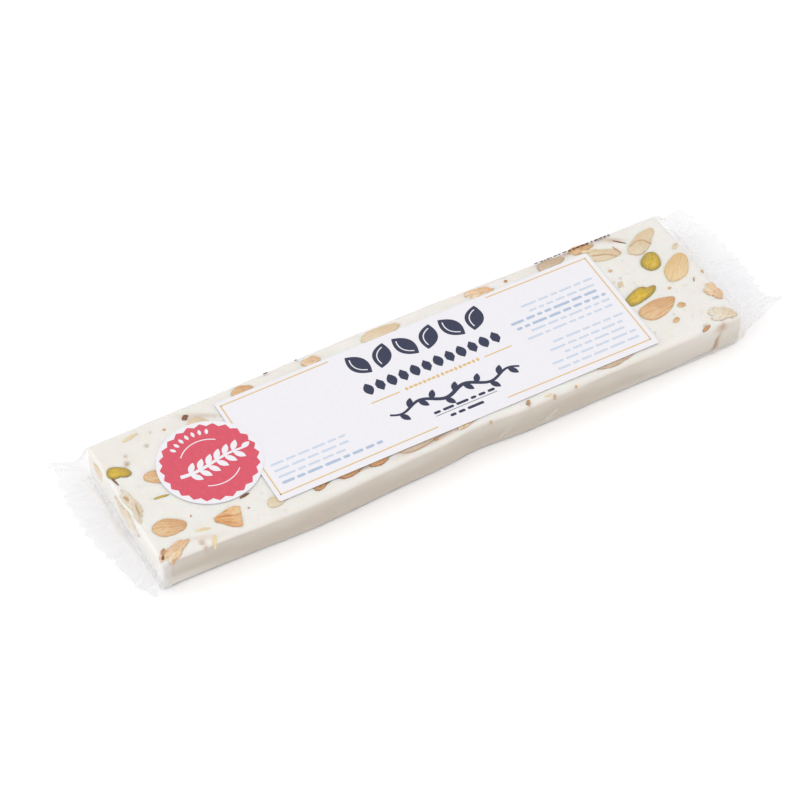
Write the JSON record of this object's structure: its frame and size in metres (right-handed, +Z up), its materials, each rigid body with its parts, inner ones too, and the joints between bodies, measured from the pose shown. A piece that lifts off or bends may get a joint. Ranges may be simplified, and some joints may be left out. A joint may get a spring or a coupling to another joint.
{
  "type": "nougat bar",
  "caption": "Flat bar of white nougat with almonds and pistachios, in a clear flow-wrap film with crimped ends, a paper label and a round sticker.",
  "frame": {"origin": "centre of the pack's footprint, on the surface it lies on", "axes": "+X along the bar, from the end with the sticker to the other end; +Z up, out of the labelled face; -Y is the front long side"},
  "size_m": [0.215, 0.0526, 0.0123],
  "materials": {
    "clear_film": "thin clear flow-wrap film, glossy, crimped at both ends",
    "nougat": "soft white nougat, matt, with air holes",
    "almond": "toasted almond, matt, tan to brown",
    "pistachio": "pistachio kernel, yellow green",
    "label_paper": null,
    "sticker_paper": "white sticker paper with a printed red disc"
  },
  "bodies": {
    "root": {"wrapper": "clear_film", "nougat": "nougat", "label": "label_paper", "sticker": "sticker_paper", "almond_01": "almond", "almond_02": "almond", "almond_03": "almond", "almond_04": "almond", "almond_05": "almond", "almond_06": "almond", "almond_07": "almond", "almond_08": "almond", "almond_09": "almond", "almond_10": "almond", "almond_11": "almond", "almond_12": "almond", "almond_13": "almond", "almond_14": "almond", "almond_15": "almond", "almond_16": "almond", "almond_17": "almond", "almond_18": "almond", "almond_19": "almond", "almond_20": "almond", "almond_21": "almond", "almond_22": "almond", "almond_23": "almond", "almond_24": "almond", "almond_25": "almond", "almond_26": "almond", "almond_27": "almond", "almond_28": "almond", "almond_29": "almond", "almond_30": "almond", "almond_31": "almond", "almond_32": "almond", "almond_33": "almond", "almond_34": "almond", "almond_35": "almond", "pistachio_01": "pistachio", "pistachio_02": "pistachio", "pistachio_03": "pistachio", "pistachio_04": "pistachio", "pistachio_05": "pistachio", "pistachio_06": "pistachio"}
  },
  "joints": []
}
